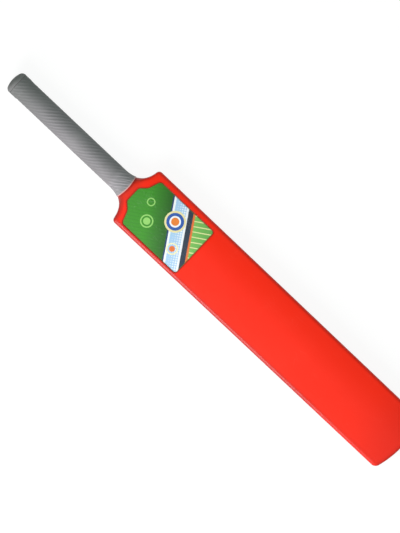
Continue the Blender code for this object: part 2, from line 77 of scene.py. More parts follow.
body = {
    "handleLength": 0.2400,
    "coreRadius": 0.0133,
    "shoulderWidth": 0.0972,
    "toeWidth": 0.0944,
    "faceRise": 0.0165,
    "crownRadius": 0.65,
    "edgeThickness": 0.018,
    "faceEdgeRadius": 0.0045,
    "backEdgeRadius": 0.0050,
    "wall": 0.0026,
    "spineDepth": 0.038,
    "spineAtShoulder": 0.0325,
    "spineAtToe": 0.023,
    "spineWidth": 0.024,
    "spineRounding": 0.0022,
    "landStart": 0.1596,  # from the shoulder
    "landLength": 0.240,
    "backHollow": 1.4,
    "neckLength": 0.0500,
    "neckTangent": 0.0340,
    "neckSquareness": 2.6,
    "shoulderTangent": 0.0217,
    "shoulderSlope": math.radians(9.47),
    "shoulderCornerRadius": 0.0054,
    "toeBow": 0.008,
    "toeBowReach": 0.090,
    "toeCornerRadius": 0.006,
    "beadHeight": 0.0004,  # the line where the mould's halves meet
    "beadWidth": 0.0016,
    "beadUnevenness": 0.25,
    "beadTurns": (410.0, 173.0),
    "waveDepth": 0.00006,  # slow unevenness of blow-moulded plastic
    "waveLength": 0.085,
    "waveFade": 0.012,  # from the outline
    "waveBend": (1.7, 1.3),
    "crossWave": (0.6, 1.1),
    "waveShares": (0.3, 0.2),
    "mostSlant": 3.5,
    "leastRounding": 0.0003,
    "firstFaceStep": 0.2,  # as shares of the half width and of its flat part
    "mostFirstStep": 0.6,
    "sharpAngle": 30.0,
}
totalLength = bladeHigh.x - body["beadHeight"] - handleEnd
bladeLength = totalLength - body["handleLength"]
neckStart = body["handleLength"] - body["neckLength"]
landStart = body["handleLength"] + body["landStart"]
landEnd = landStart + body["landLength"]

# How finely the body is cut: steps for each stretch of the outline, and places across half of the face and of
# the back, where 0 to 4 lie on the flat part and 4 to 8 round the edge
flatSteps = roundSteps = 4.0
roundPlaces = np.linspace(4, 8, 13)[1:]
fine = {
    "tube": 10, "neck": 64, "corner": 12, "rise": 40, "land": 32, "fall": 40, "toe": 24,
    "face": np.r_[np.linspace(0, 4, 25), roundPlaces],
    "back": np.r_[0, 0.5, np.linspace(0.8, 1.6, 9), np.linspace(1.6, 4, 15)[1:], roundPlaces],
}
coarse = {
    "tube": 3, "neck": 16, "corner": 6, "rise": 8, "land": 4, "fall": 8, "toe": 6,
    "face": np.r_[np.linspace(0, 4, 9), np.linspace(4, 8, 5)[1:]],
}
coarse["back"] = coarse["face"]
beadSteps = np.array([1.35, 1.0, 0.75, 0.5, 0.25, 0.0, -0.25, -0.5, -0.75, -1.0, -1.35])
mirrored = [1.0, -1.0, 1.0]


# Curves and sections

def columns(*values):
    return np.column_stack(values)


def ease(value):
    value = np.clip(value, 0.0, 1.0)
    return value * value * (3.0 - 2.0 * value)


def cubicCurve(points, steps):
    t = np.linspace(0.0, 1.0, steps + 1)[:, None]
    start, first, second, end = points
    return start * (1 - t)**3 + first * 3 * t * (1 - t)**2 + second * 3 * t**2 * (1 - t) + end * t**3


def sideHalfWidth(station):
    along = (station - body["handleLength"]) / bladeLength
    return (body["shoulderWidth"] + (body["toeWidth"] - body["shoulderWidth"]) * along) / 2


def bowed(station, bow, y):
    return station - bow * (y / sideHalfWidth(totalLength)) ** 2


def neckOutline(inset, detail):
    # a cubic from the round handle out to the shoulder, then the shoulder's rounded corner
    slope = body["shoulderSlope"]
    outwards = np.array([math.sin(slope), math.cos(slope)])
    inwards = np.array([math.cos(slope), -math.sin(slope)])
    start = np.array([neckStart, body["coreRadius"] - inset])
    cornerDrop = body["shoulderCornerRadius"] * (1.0 - math.sin(slope))
    corner = np.array([body["handleLength"], body["shoulderWidth"] / 2 - cornerDrop]) + inwards * inset
    tangents = start + [body["neckTangent"], 0.0], corner - outwards * body["shoulderTangent"]
    neck = cubicCurve((start, *tangents, corner), detail["neck"])
    station, half = neck[-1]
    room = sideHalfWidth(body["handleLength"]) - inset - half
    radius = max(room / (1.0 - math.sin(slope)), body["leastRounding"])
    turns = np.linspace(slope, math.pi / 2, detail["corner"] + 1)[1:]
    centre = np.array([station + radius * math.cos(slope), half - radius * math.sin(slope)])
    return np.vstack([neck, centre + radius * columns(-np.cos(turns), np.sin(turns))])


def outlineStations(inset, detail, overrun):
    # rows of station at the middle, half width and bow, from the tube's mouth to the toe
    tube = np.linspace(tubeStart - overrun, neckStart, detail["tube"] + 1)[:-1]
    neck = neckOutline(inset, detail)
    radius = max(body["toeCornerRadius"] - inset, body["leastRounding"])
    toeStart = totalLength - inset - radius
    toeHalf = sideHalfWidth(toeStart) - inset - radius
    turns = np.linspace(0.0, math.pi / 2, detail["toe"] + 1)[1:]
    runs = (neck[-1, 0], landStart, "rise"), (landStart, landEnd, "land"), (landEnd, toeStart, "fall")
    sides = np.concatenate([np.linspace(start, end, detail[run] + 1)[1:] for start, end, run in runs])
    plan = np.vstack([
        columns(tube, np.full(len(tube), body["coreRadius"] - inset)), neck,
        columns(sides, sideHalfWidth(sides) - inset),
        columns(toeStart + radius * np.sin(turns), toeHalf + radius * np.cos(turns))])
    bow = body["toeBow"] * ease(1.0 - (totalLength - plan[:, 0]) / body["toeBowReach"])
    return columns(plan, bow)


def outlinePath(stations, toeCuts=40):
    # the plan outline of one half, run across the toe to the middle
    station, half, bow = stations[-1]
    across = np.linspace(half, 0.0, toeCuts)[1:]
    side = columns(bowed(stations[:, 0], stations[:, 2], stations[:, 1]), stations[:, 1])
    return np.vstack([side, columns(bowed(station, bow, across), across)])


def distanceToPath(path, points, atOnce=4000):
    # shortest plan distance from each point (station, y) to the path
    start, run = path[:-1], np.diff(path, axis=0)
    found = []
    for some in np.array_split(points, max(len(points) // atOnce, 1)):
        away = some[:, None, :] - start
        share = np.clip((away * run).sum(axis=2) / (run * run).sum(axis=1), 0.0, 1.0)
        found.append(np.sqrt(((away - run * share[..., None]) ** 2).sum(axis=2)).min(axis=1))
    return np.concatenate(found)


def faceHeight(y):
    return body["faceRise"] - y * y / (2 * body["crownRadius"])


def spineDepth(station):
    short = np.clip((landStart - station) / body["landStart"], 0.0, 1.0)
    past = np.clip((station - landEnd) / (totalLength - landEnd), 0.0, None)
    thinning = (body["spineDepth"] - body["spineAtShoulder"]) * short**2
    return body["spineDepth"] - thinning - (body["spineDepth"] - body["spineAtToe"]) * past**2


def backHeight(station, y):
    half = sideHalfWidth(max(station, body["handleLength"]))
    beyond = np.clip(np.abs(y) - body["spineWidth"] / 2, 0.0, None)
    rounding = body["spineRounding"]
    share = (np.hypot(beyond, rounding) - rounding) / (half - body["spineWidth"] / 2)
    spine = body["faceRise"] - spineDepth(station)
    edge = faceHeight(half) - body["edgeThickness"]
    return edge + (spine - edge) * np.clip(1.0 - share, 0.0, None) ** body["backHollow"]


def edgeDrop(distance, radius):
    inside = np.clip(radius - distance, 0.0, radius)
    return radius - np.sqrt(radius * radius - inside * inside)


def unevenness(station, y, lift):
    # slow waves from 0 to 1 over the moulded surface, different on the face and the back
    along, across = (2 * math.pi / body["waveLength"] * place for place in (station, y))
    depth, pace = body["waveBend"]
    cross, side = body["crossWave"]
    first = np.sin(along + depth * np.sin(across * pace + lift) + lift)
    second = np.sin(cross * along + side * across + 2.0 * lift)
    return 0.5 + body["waveShares"][0] * first + body["waveShares"][1] * second


def beadBump(side):
    return np.where(np.abs(side) < 1, 0.5 + 0.5 * np.cos(math.pi * side), 0.0)


class Skin:
    # the moulded body's surface, or its hollow at an inset, as half sections from face to back

    def __init__(self, inset, detail, overrun=0.0):
        self.inset = inset
        self.detail = detail
        self.stations = outlineStations(inset, detail, overrun)
        self.path = outlinePath(self.stations)
        self.sideSteps = beadSteps if inset == 0.0 else beadSteps[:0]
        self.faceRadius, self.backRadius = (max(body[edge] - inset, body["leastRounding"])
                                            for edge in ("faceEdgeRadius", "backEdgeRadius"))
        self.halves = np.array([self.halfSection(index) for index in range(len(self.stations))])

    def runAt(self, index):
        return self.path[index + 1] - self.path[max(index - 1, 0)]

    def flatEnd(self, index, radius):
        half, run = self.stations[index, 1], np.abs(self.runAt(index))
        slant = math.hypot(*run) / max(run[0], run[1] / body["mostSlant"])
        return max(half - radius * slant, half / 2)

    def row(self, index, upper):
        station, half, bow = self.stations[index]
        steps = self.detail["face" if upper else "back"]
        flatEnd = self.flatEnd(index, self.faceRadius if upper else self.backRadius)
        first = half * body["firstFaceStep"] if upper else body["spineWidth"] / 2
        first = min(first, body["mostFirstStep"] * flatEnd)
        turns = math.pi / 2 * np.clip(steps - flatSteps, 0.0, None) / roundSteps
        flat = np.interp(steps, [0.0, 1.0, flatSteps], [0.0, first, flatEnd])
        places = np.where(steps <= flatSteps, flat, half - (half - flatEnd) * (1.0 - np.sin(turns)))
        angles = math.pi / 2 + (body["beadWidth"] / body["coreRadius"] - math.pi / 2) * steps / steps[-1]
        neck = self.neckRow(angles, station, half, upper)
        blade = self.bladeRow(places, station, bow, upper)
        rows = neck + (blade - neck) * ease((station - rimStation) / (labelTop - rimStation))
        return columns(bowed(station, bow, rows[:, 0]), rows)

    def neckRow(self, angles, station, half, upper):
        # round on the handle and squarer along the neck
        along = ease((station - neckStart) / (rimStation - neckStart))
        rise = body["faceRise"] if upper else body["spineAtShoulder"] - body["faceRise"]
        height = body["coreRadius"] + (rise - body["coreRadius"]) * along - self.inset
        power = 2.0 + (body["neckSquareness"] - 2.0) * along
        total = (np.abs(np.cos(angles)) / half) ** power + (np.abs(np.sin(angles)) / height) ** power
        radius = total ** (-1 / power)
        return columns(radius * np.cos(angles), radius * np.sin(angles) * (1 if upper else -1))

    def bladeRow(self, places, station, bow, upper):
        distance = distanceToPath(self.path, columns(bowed(station, bow, places), places))
        wave = 0.0
        if self.inset == 0.0:
            fade = ease(distance / body["waveFade"])
            wave = body["waveDepth"] * fade * unevenness(station, places, 0.0 if upper else 2.0)
        if upper:
            heights = faceHeight(places) - self.inset - edgeDrop(distance, self.faceRadius) - wave
        else:
            heights = backHeight(station, places) + self.inset + edgeDrop(distance, self.backRadius) + wave
        return columns(places, heights)

    def side(self, index, upper, lower):
        # the parting bead, a low rounded line on the middle of the edge
        station, half, _ = self.stations[index]
        run = self.runAt(index)
        along, across = run / math.hypot(*run)
        first, second = (math.sin(station * turns) for turns in body["beadTurns"])
        uneven = 1.0 - body["beadUnevenness"] * (0.5 + 0.5 * first * second)
        height = body["beadHeight"] * uneven * ease((station - rimStation) / sleeve["rimDip"])
        x, y, middle = (upper + lower) / 2
        bump = beadBump(self.sideSteps)
        out = max(half, y) - y
        return columns(x - across * height * bump, y + (out + along * height) * bump,
                       middle + self.sideSteps * body["beadWidth"] / 2)

    def halfSection(self, index):
        face, back = self.row(index, True), self.row(index, False)
        return np.vstack([face, self.side(index, face[-1], back[-1]), back[::-1]])

    def polarTable(self, cuts=121):
        # distance from the handle's axis over the stations and over angles from straight down to straight up
        angles = np.linspace(-math.pi / 2, math.pi / 2, cuts)
        wanted = self.stations[:, 0] < body["handleLength"]
        rows = []
        for half in self.halves[wanted]:
            bearing, reach = np.arctan2(half[::-1, 2], half[::-1, 1]), np.hypot(half[::-1, 1], half[::-1, 2])
            order = np.argsort(bearing)
            rows.append(np.interp(angles, bearing[order], reach[order]))
        return self.stations[wanted, 0], angles, np.array(rows)


def radiusAt(table, stations, angles):
    places, bearings, reach = table
    folded = np.arctan2(np.sin(angles), np.abs(np.cos(angles)))
    row = np.clip(np.searchsorted(places, stations) - 1, 0, len(places) - 2)
    rowShare = (stations - places[row]) / (places[row + 1] - places[row])
    column = (folded - bearings[0]) / (bearings[1] - bearings[0])
    low = np.clip(column.astype(int), 0, len(bearings) - 2)
    share = column - low
    near, far = (reach[at, low] * (1 - share) + reach[at, low + 1] * share for at in (row, row + 1))
    return near + (far - near) * rowShare


# Mesh helpers

def meshFrom(name, points, faces):
    mesh = bpy.data.meshes.new(name)
    mesh.from_pydata([tuple(point) for point in np.asarray(points, float) + handlePlace], [], faces)
    return mesh


def meshPoints(mesh):
    found = np.zeros(len(mesh.vertices) * 3)
    mesh.vertices.foreach_get("co", found)
    return found.reshape(-1, 3) - handlePlace


def outwardMesh(mesh, merge=0.0):
    # turns the faces of a closed mesh outwards, and merges its doubles first when asked
    shape = bmesh.new()
    shape.from_mesh(mesh)
    if merge:
        bmesh.ops.remove_doubles(shape, verts=shape.verts, dist=merge)
    bmesh.ops.recalc_face_normals(shape, faces=shape.faces)
    shape.to_mesh(mesh)
    shape.free()
    return mesh


def quadStrip(near, far, closed):
    count = len(near)
    last = count if closed else count - 1
    return [(near[i], near[(i + 1) % count], far[(i + 1) % count], far[i]) for i in range(last)]


def ringFaces(count, size, closed=False):
    # faces between rings of points that follow one another, and from the last to the first when closed
    rings = [range(index * size, (index + 1) * size) for index in range(count)]
    after = rings[1:] + rings[:1] if closed else rings[1:]
    return [face for near, far in zip(rings, after) for face in quadStrip(near, far, True)]


def shadeSmooth(mesh, sharpAngle):
    mesh.shade_smooth()
    mesh.set_sharp_from_angle(angle=math.radians(sharpAngle))


def newPiece(name, mesh, sharpAngle=32.0):
    piece = bpy.data.objects.new(name, mesh)
    scene.collection.objects.link(piece)
    shadeSmooth(mesh, sharpAngle)
    return piece


def plainMesh(piece):
    # the evaluated object as a plain mesh, with its modifiers gone
    depsgraph = bpy.context.evaluated_depsgraph_get()
    mesh = bpy.data.meshes.new_from_object(piece.evaluated_get(depsgraph), preserve_all_data_layers=True,
                                           depsgraph=depsgraph)
    piece.modifiers.clear()
    piece.data = mesh
    return mesh


def writeAttributes(mesh, **values):
    for name, value in values.items():
        made = mesh.attributes.new(name, "FLOAT", "POINT")
        made.data.foreach_set("value", np.asarray(value, np.float32).ravel())


def skinMesh(name, skin):
    # sections bridged along the bat, a flat end at the tube's mouth, and rows across the bowed toe
    rings = np.concatenate([skin.halves, skin.halves[:, -2:0:-1] * mirrored], axis=1)
    count, size = rings.shape[:2]
    toePoints, toeFaces = toeRows(skin, size, count * size)
    faces = [*ringFaces(count, size), tuple(range(size)), *toeFaces]
    return outwardMesh(meshFrom(name, np.vstack([rings.reshape(-1, 3), *toePoints]), faces))


def toeRows(skin, size, free):
    # the toe's end: the face's edge, the bead's rows and the back's edge, each from side to side
    rowSize, halfSize = len(skin.detail["face"]), skin.halves.shape[1]
    backStart = halfSize - rowSize
    ring = range(free - size, free)
    last = skin.halves[-1]
    station, _, bow = skin.stations[-1]
    upper, lower = (np.vstack([half[:0:-1] * mirrored, half])
                    for half in (last[:rowSize], last[backStart:][::-1]))
    middle = (upper + lower)[1:-1] / 2
    rows, points = [[ring[i] for i in range(1 - rowSize, rowSize)]], []
    for step, side in enumerate(skin.sideSteps):
        out = bowed(station, bow, middle[:, 1]) + body["beadHeight"] * beadBump(side)
        points.append(columns(out, middle[:, 1], middle[:, 2] + side * body["beadWidth"] / 2))
        rows.append([ring[-(rowSize + step)], *range(free, free + len(middle)), ring[rowSize + step]])
        free += len(middle)
    toMiddle = range(backStart, halfSize)
    rows.append([ring[-i] for i in toMiddle[:-1]] + [ring[i] for i in toMiddle[::-1]])
    return points, [face for near, far in zip(rows, rows[1:]) for face in quadStrip(near, far, False)]


# Nodes

class Nodes:
    # short ways to add nodes to one tree, where a value is a number, a colour or another node's socket

    def __init__(self, tree):
        self.tree = tree

    def add(self, kind, inputs=None, **settings):
        made = self.tree.nodes.new(kind)
        for name, value in settings.items():
            setattr(made, name, value)
        for name, value in (inputs or {}).items():
            if isinstance(value, bpy.types.NodeSocket):
                self.tree.links.new(value, made.inputs[name])
            else:
                made.inputs[name].default_value = value
        return made

    def out(self, kind, inputs=None, **settings):
        return self.add(kind, inputs, **settings).outputs[0]

    def calc(self, operation, *values, clamp=False):
        return self.out("ShaderNodeMath", dict(enumerate(values)), operation=operation, use_clamp=clamp)

    def times(self, first, second, clamp=False):
        return self.calc("MULTIPLY", first, second, clamp=clamp)

    def plus(self, first, second):
        return self.calc("ADD", first, second)

    def minus(self, first, second, clamp=False):
        return self.calc("SUBTRACT", first, second, clamp=clamp)

    def mapped(self, value, low, high, newLow=0.0, newHigh=1.0, smooth=False):
        inputs = {"Value": value, "From Min": low, "From Max": high, "To Min": newLow, "To Max": newHigh}
        kind = "SMOOTHSTEP" if smooth else "LINEAR"
        return self.add("ShaderNodeMapRange", inputs, interpolation_type=kind, clamp=True).outputs["Result"]

    def vectorMath(self, operation, first, second):
        return self.add("ShaderNodeVectorMath", {0: first, 1: second}, operation=operation).outputs

    def noise(self, place, scale, detail, roughness=0.5):
        inputs = {"Vector": place, "Scale": scale, "Detail": detail, "Roughness": roughness}
        return self.out("ShaderNodeTexNoise", inputs)

    def split(self, value):
        return self.add("ShaderNodeSeparateXYZ", {0: value}).outputs

    def turned(self, place, **values):
        return self.out("ShaderNodeMapping", {"Vector": place, **values})

    def mixed(self, share, first, second):
        return self.add("ShaderNodeMix", {0: share, 6: first, 7: second}, data_type="RGBA").outputs[2]

    def finish(self, **outputs):
        self.add("NodeGroupOutput", outputs)
        return self.tree


def colour(red, green, blue):
    # a linear colour from a display colour with channels up to 255
    channels = [channel / 255 for channel in (red, green, blue)]
    return (*(c / 12.92 if c <= 0.04045 else ((c + 0.055) / 1.055) ** 2.4 for c in channels), 1.0)


def shaderGroup(name, outputs, **inputs):
    # a group whose Vector is where the effect is made, and whose other sockets are numbers
    tree = bpy.data.node_groups.new(name, "ShaderNodeTree")
    tree.interface.new_socket("Vector", in_out="INPUT", socket_type="NodeSocketVector")
    for socket, value in inputs.items():
        tree.interface.new_socket(socket, in_out="INPUT", socket_type="NodeSocketFloat").default_value = value
    for socket in outputs:
        tree.interface.new_socket(socket, in_out="OUTPUT", socket_type="NodeSocketFloat")
    return Nodes(tree), tree.nodes.new("NodeGroupInput").outputs


# The label's outline and the sunk panel

label = {
    "width": 0.0798,
    "length": 0.1202,
    "toShoulder": 0.0031,
    "topWidth": 0.0240,
    "neckWidth": 0.0424,
    "neckDrop": 0.0099,
    "shoulderDrop": 0.0166,
    "roundings": (0.0055, 0.0140, 0.0055, 0.0043),
    "thickness": 0.0004,
    "offset": -0.0018,
    "panelMargin": 0.0008,
    "panelDepth": 0.0010,
    "panelChamfer": 0.0003,
    "edgeChamfer": 0.00008,
    "arcSteps": 8,
    "step": 0.0022,
    "rings": 20,
    "edgeRings": (0.0003, 0.0006, 0.0009, 0.0012, 0.0016, 0.0022),  # from the edge of the film's top
}
labelTop = body["handleLength"] - label["toShoulder"]


def roundedCorner(before, corner, after, radius):
    back = (before - corner) / math.dist(before, corner)
    onward = (after - corner) / math.dist(after, corner)
    halfAngle = math.acos(float(back @ onward)) / 2
    centre = corner + (back + onward) / (2 * math.cos(halfAngle)) * radius / math.sin(halfAngle)
    first = corner + back * radius / math.tan(halfAngle) - centre
    last = corner + onward * radius / math.tan(halfAngle) - centre
    turn = math.pi - 2 * halfAngle
    shares = np.linspace(0.0, 1.0, label["arcSteps"] + 1)
    weights = [(math.sin((1 - share) * turn), math.sin(share * turn)) for share in shares]
    return [centre + (first * near + last * far) / math.sin(turn) for near, far in weights]


def labelLoop(margin):
    # the closed outline as points (distance from the label's top, y), moved outwards by the margin
    half, end = label["width"] / 2, label["length"]
    corners = np.array([(0.0, 0.0), (0.0, label["topWidth"] / 2), (label["neckDrop"], label["neckWidth"] / 2),
                        (label["shoulderDrop"], half), (end, half), (end, 0.0)])
    path = [corners[0]]
    for index, radius in enumerate(label["roundings"]):
        path += roundedCorner(*corners[index:index + 3], radius)
    path.append(corners[-1])
    side = [path[0]]
    for start, end in zip(path, path[1:]):
        cuts = max(round(math.dist(start, end) / label["step"]), 1)
        side += [start + (end - start) * step / cuts for step in range(1, cuts + 1)]
    side = np.array(side)
    loop = np.vstack([side, side[-2:0:-1] * [1, -1]])
    run = np.roll(loop, -1, axis=0) - np.roll(loop, 1, axis=0)
    outwards = columns(-run[:, 1], run[:, 0]) / np.hypot(*run.T)[:, None]
    return loop + outwards * margin


def labelPath(margin=0.0):
    # the same loop as a closed path in plan (station, y)
    loop = labelLoop(margin) + [labelTop, label["offset"]]
    return np.vstack([loop, loop[:1]])


def crownedLoop(loop, lift):
    # a loop of the label laid on the crowned face, at a height above it
    y = loop[:, 1] + label["offset"]
    return columns(labelTop + loop[:, 0], y, faceHeight(y) + lift)


def crownedSlab(name, walls):
    # a closed slab: walls are (margin, lift) from underside to top, and both ends close in rings
    centre = np.array([label["length"] / 2, 0.0])
    shares = 1.0 - np.arange(1, label["rings"] + 1) / (label["rings"] + 1)
    below, above = ([crownedLoop(centre + (labelLoop(margin) - centre) * share, lift) for share in shares]
                    for margin, lift in (walls[0], walls[-1]))
    loops = [*below[::-1], *(crownedLoop(labelLoop(margin), lift) for margin, lift in walls), *above]
    ends = [crownedLoop(centre[None], lift)[0] for _, lift in (walls[0], walls[-1])]
    count = len(loops[0])
    free, top = len(loops) * count, (len(loops) - 1) * count
    faces = ringFaces(len(loops), count)
    for i in range(count):
        after = (i + 1) % count
        faces += [(free, after, i), (free + 1, top + i, top + after)]
    return outwardMesh(meshFrom(name, np.vstack([*loops, ends]), faces))


def cutOut(piece, name, mesh):
    cutter = bpy.data.objects.new(name, mesh)
    scene.collection.objects.link(cutter)
    cut = piece.modifiers.new(name, "BOOLEAN")
    cut.operation = "DIFFERENCE"
    cut.solver = "EXACT"
    cut.object = cutter
    return cutter


def insidePath(path, points):
    # which points lie inside a closed plan path: those with an odd count of its edges on one side
    x, y = points.T
    inside = np.zeros(len(points), bool)
    for start, end in zip(path, path[1:]):
        crosses = (start[1] > y) != (end[1] > y)
        rise = end[1] - start[1] if end[1] != start[1] else 1.0
        inside ^= crosses & (x < start[0] + (y - start[1]) / rise * (end[0] - start[0]))
    return inside


def makeBlade(skin):
    piece = newPiece("bladeBody", skinMesh("bladeBody", skin))
    hollow = Skin(body["wall"], coarse, overrun=plug["endThickness"])
    margin, depth, chamfer = label["panelMargin"], label["panelDepth"], label["panelChamfer"]
    wider = margin + 2 * chamfer
    panel = crownedSlab("panel", [(margin, -depth), (margin, -chamfer), (wider, chamfer), (wider, depth)])
    cutters = [cutOut(piece, "hollow", skinMesh("hollow", hollow)), cutOut(piece, "panel", panel)]
    mesh = plainMesh(piece)
    for cutter in cutters:
        bpy.data.objects.remove(cutter, do_unlink=True)
    shadeSmooth(mesh, body["sharpAngle"])
    x, y, z = meshPoints(mesh).T
    plan, onFace = columns(x, y), z > 0.0
    inPanel = insidePath(labelPath(margin + 3 * chamfer), plan)
    sunk = np.clip((faceHeight(y) - z - chamfer) / (depth - chamfer), 0.0, 1.0)
    writeAttributes(mesh, fromEdge=distanceToPath(skin.path, np.abs(plan)),
                    fromLabel=distanceToPath(labelPath(), plan) + np.where(onFace, 0.0, 1.0),
                    pastRim=x - rimStation - sleeve["rimDip"] * (z / (np.hypot(y, z) + 1e-6)) ** 2,
                    recess=np.where(inPanel & onFace, sunk, 0.0), side=y, toToe=totalLength - x)
    print("blade body:", len(mesh.vertices), "points")
    return piece


def makeLabel():
    chamfer, lift = label["edgeChamfer"], clearance - label["panelDepth"]
    top = lift + label["thickness"]
    walls = [(-chamfer, lift), (0.0, lift + chamfer), (0.0, top - chamfer), (-chamfer, top)]
    mesh = crownedSlab("faceLabel", walls + [(-inset, top) for inset in label["edgeRings"]])
    writeAttributes(mesh, inset=distanceToPath(labelPath(), meshPoints(mesh)[:, :2]))
    print("face label:", len(mesh.vertices), "points")
    return newPiece("faceLabel", mesh)


# The rubber sleeve and its ribs

sleeve = {
    "wall": 0.0030,
    "collarLength": 0.0100,
    "collarFade": 0.0040,
    "collarHeight": 0.0005,
    "rimWall": 0.0011,
    "rimToShoulder": 0.0174,
    "rimDip": 0.0031,
    "flareLength": 0.0307,
    "lipLength": 0.0016,
    "ribsFromLip": 0.3,  # as a share of the lip's length
    "collarRounding": 0.0006,
    "rimRounding": 0.0004,
    "ribs": {  # the inputs of the geometry nodes
        "Starts": 17.0,
        "Lead": 0.121,
        "Depth": 0.00027,
        "Sharpness": 1.3,
        "Share On Flare": 0.35,
        "Fine Starts": 32.0,
        "Fine Lead": 0.090,
        "Fine Depth": 0.00026,
        "Evenness": 0.82,  # the share of the depth, and how it changes in patches
        "Unevenness": 4.4,
        "Least Depth": 0.12,
        "Patch Scale": 22.0,
        "Seed": 7.0,
    },
    "fineReach": (0.186, 0.198),  # where the fine ribs set in along the sleeve
    "pointsPerRib": 14,
    "ringStep": 0.00125,
    "boreStep": 0.0040,
    "roundingSteps": 5,
    "sharpAngle": 50.0,
}
rimStation = body["handleLength"] - sleeve["rimToShoulder"]


def flare(station):
    return ease((station - rimStation + sleeve["flareLength"]) / sleeve["flareLength"])


def sleeveWall(station):
    collar = 1.0 - ease((station - sleeveStart - sleeve["collarLength"]) / sleeve["collarFade"])
    thinning = (sleeve["wall"] - sleeve["rimWall"]) * flare(station)
    return sleeve["wall"] + sleeve["collarHeight"] * collar - thinning


def endRounding(station, inwards, radius):
    turns = np.linspace(0.0, math.pi / 2, sleeve["roundingSteps"] + 1)
    return [(station + inwards * radius * (1 - math.sin(turn)),
             sleeveWall(station) - radius * (1 - math.cos(turn)), 0.0, 1.0) for turn in turns]


def sleeveProfile():
    # rows of station, height over the bore, share of the ribs and share of the lip, all round the wall
    rows = endRounding(sleeveStart, 1, sleeve["collarRounding"])[::-1]
    first, last = sleeveStart + sleeve["collarRounding"], rimStation - sleeve["rimRounding"]
    for station in np.linspace(first, last, round((last - first) / sleeve["ringStep"]) + 1)[1:-1]:
        ends = min(station - sleeveStart, rimStation - station) / sleeve["lipLength"]
        rows.append((station, sleeveWall(station), ease(ends - sleeve["ribsFromLip"]), 1.0 - ease(ends)))
    rows += endRounding(rimStation, -1, sleeve["rimRounding"])
    boreCuts = round((rimStation - sleeveStart) / sleeve["boreStep"])
    rows += [(station, 0.0, 0.0, 0.0) for station in np.linspace(rimStation, sleeveStart, boreCuts + 1)]
    return np.array(rows, float)


def sleeveBase(table):
    # a smooth wall whose rings turn with the ribs, so that points run along each rib
    rows = sleeveProfile()
    count = round(sleeve["ribs"]["Starts"]) * sleeve["pointsPerRib"]
    stations, heights, ribbed, lip = (np.repeat(column[:, None], count, axis=1) for column in rows.T)
    turns = 2 * math.pi * np.arange(count) / count
    angles = turns - 2 * math.pi * (stations - sleeveStart) / sleeve["ribs"]["Lead"]
    places = stations + sleeve["rimDip"] * flare(stations) * np.sin(angles) ** 2
    reach = radiusAt(table, places, angles) + clearance + heights
    points = np.stack([places, reach * np.cos(angles), reach * np.sin(angles)], axis=-1).reshape(-1, 3)
    mesh = outwardMesh(meshFrom("gripSleeve", points, ringFaces(len(rows), count, closed=True)))
    low, high = sleeve["fineReach"]
    writeAttributes(mesh, along=stations - sleeveStart, around=np.mod(angles, 2 * math.pi), ribbed=ribbed,
                    lip=lip, fine=ease((stations - sleeveStart - low) / (high - low)),
                    toRim=rimStation - stations)
    return mesh


def helixGrooves(nodes, around, along, starts, lead, sharpness):
    # depth from 0 on a ridge to 1 in a groove, from the phase round and along the sleeve
    turn = nodes.plus(around, nodes.calc("DIVIDE", nodes.times(along, 2 * math.pi), lead))
    ridge = nodes.calc("MULTIPLY_ADD", nodes.calc("COSINE", nodes.times(turn, starts)), 0.5, 0.5)
    return nodes.minus(1.0, nodes.calc("POWER", ridge, sharpness))


def ribTree():
    nodes = Nodes(bpy.data.node_groups.new("sleeveRibs", "GeometryNodeTree"))
    sockets = {"Geometry": "NodeSocketGeometry", **dict.fromkeys(sleeve["ribs"], "NodeSocketFloat"),
               "Material": "NodeSocketMaterial"}
    for socket, kind in sockets.items():
        nodes.tree.interface.new_socket(socket, in_out="INPUT", socket_type=kind)
    nodes.tree.interface.new_socket("Geometry", in_out="OUTPUT", socket_type="NodeSocketGeometry")
    given = nodes.add("NodeGroupInput").outputs
    around, along, ribbed, fineShare = (
        nodes.add("GeometryNodeInputNamedAttribute", {"Name": name}, data_type="FLOAT").outputs["Attribute"]
        for name in ("around", "along", "ribbed", "fine"))
    wide, narrow = (
        helixGrooves(nodes, around, along, given[kind + "Starts"], given[kind + "Lead"], given["Sharpness"])
        for kind in ("", "Fine "))
    wide = nodes.times(wide, nodes.mapped(fineShare, 0.0, 1.0, 1.0, given["Share On Flare"]))
    narrow = nodes.times(narrow, fineShare)
    narrow = nodes.times(narrow, nodes.calc("DIVIDE", given["Fine Depth"], given["Depth"]))
    slow = nodes.out("ShaderNodeTexNoise", {"Scale": given["Patch Scale"], "Detail": 2.0, "W": given["Seed"]},
                     noise_dimensions="4D")
    change = nodes.times(nodes.minus(slow, 0.5), given["Unevenness"])
    share = nodes.calc("MAXIMUM", nodes.minus(given["Evenness"], change), given["Least Depth"])
    share = nodes.mapped(fineShare, 0.0, 1.0, share, 1.0)
    groove = nodes.times(nodes.times(nodes.plus(wide, narrow), ribbed), share)
    sink = nodes.times(nodes.times(groove, given["Depth"]), -1.0)
    normal = nodes.out("GeometryNodeInputNormal")
    offset = nodes.out("ShaderNodeVectorMath", {0: normal, "Scale": sink}, operation="SCALE")
    kept = nodes.out("GeometryNodeStoreNamedAttribute",
                     {"Geometry": given["Geometry"], "Name": "groove", "Value": groove},
                     data_type="FLOAT", domain="POINT")
    moved = nodes.out("GeometryNodeSetPosition", {"Geometry": kept, "Offset": offset})
    real = nodes.out("GeometryNodeRealizeInstances", {"Geometry": moved})
    given = {"Geometry": real, "Material": given["Material"]}
    return nodes.finish(Geometry=nodes.out("GeometryNodeSetMaterial", given))


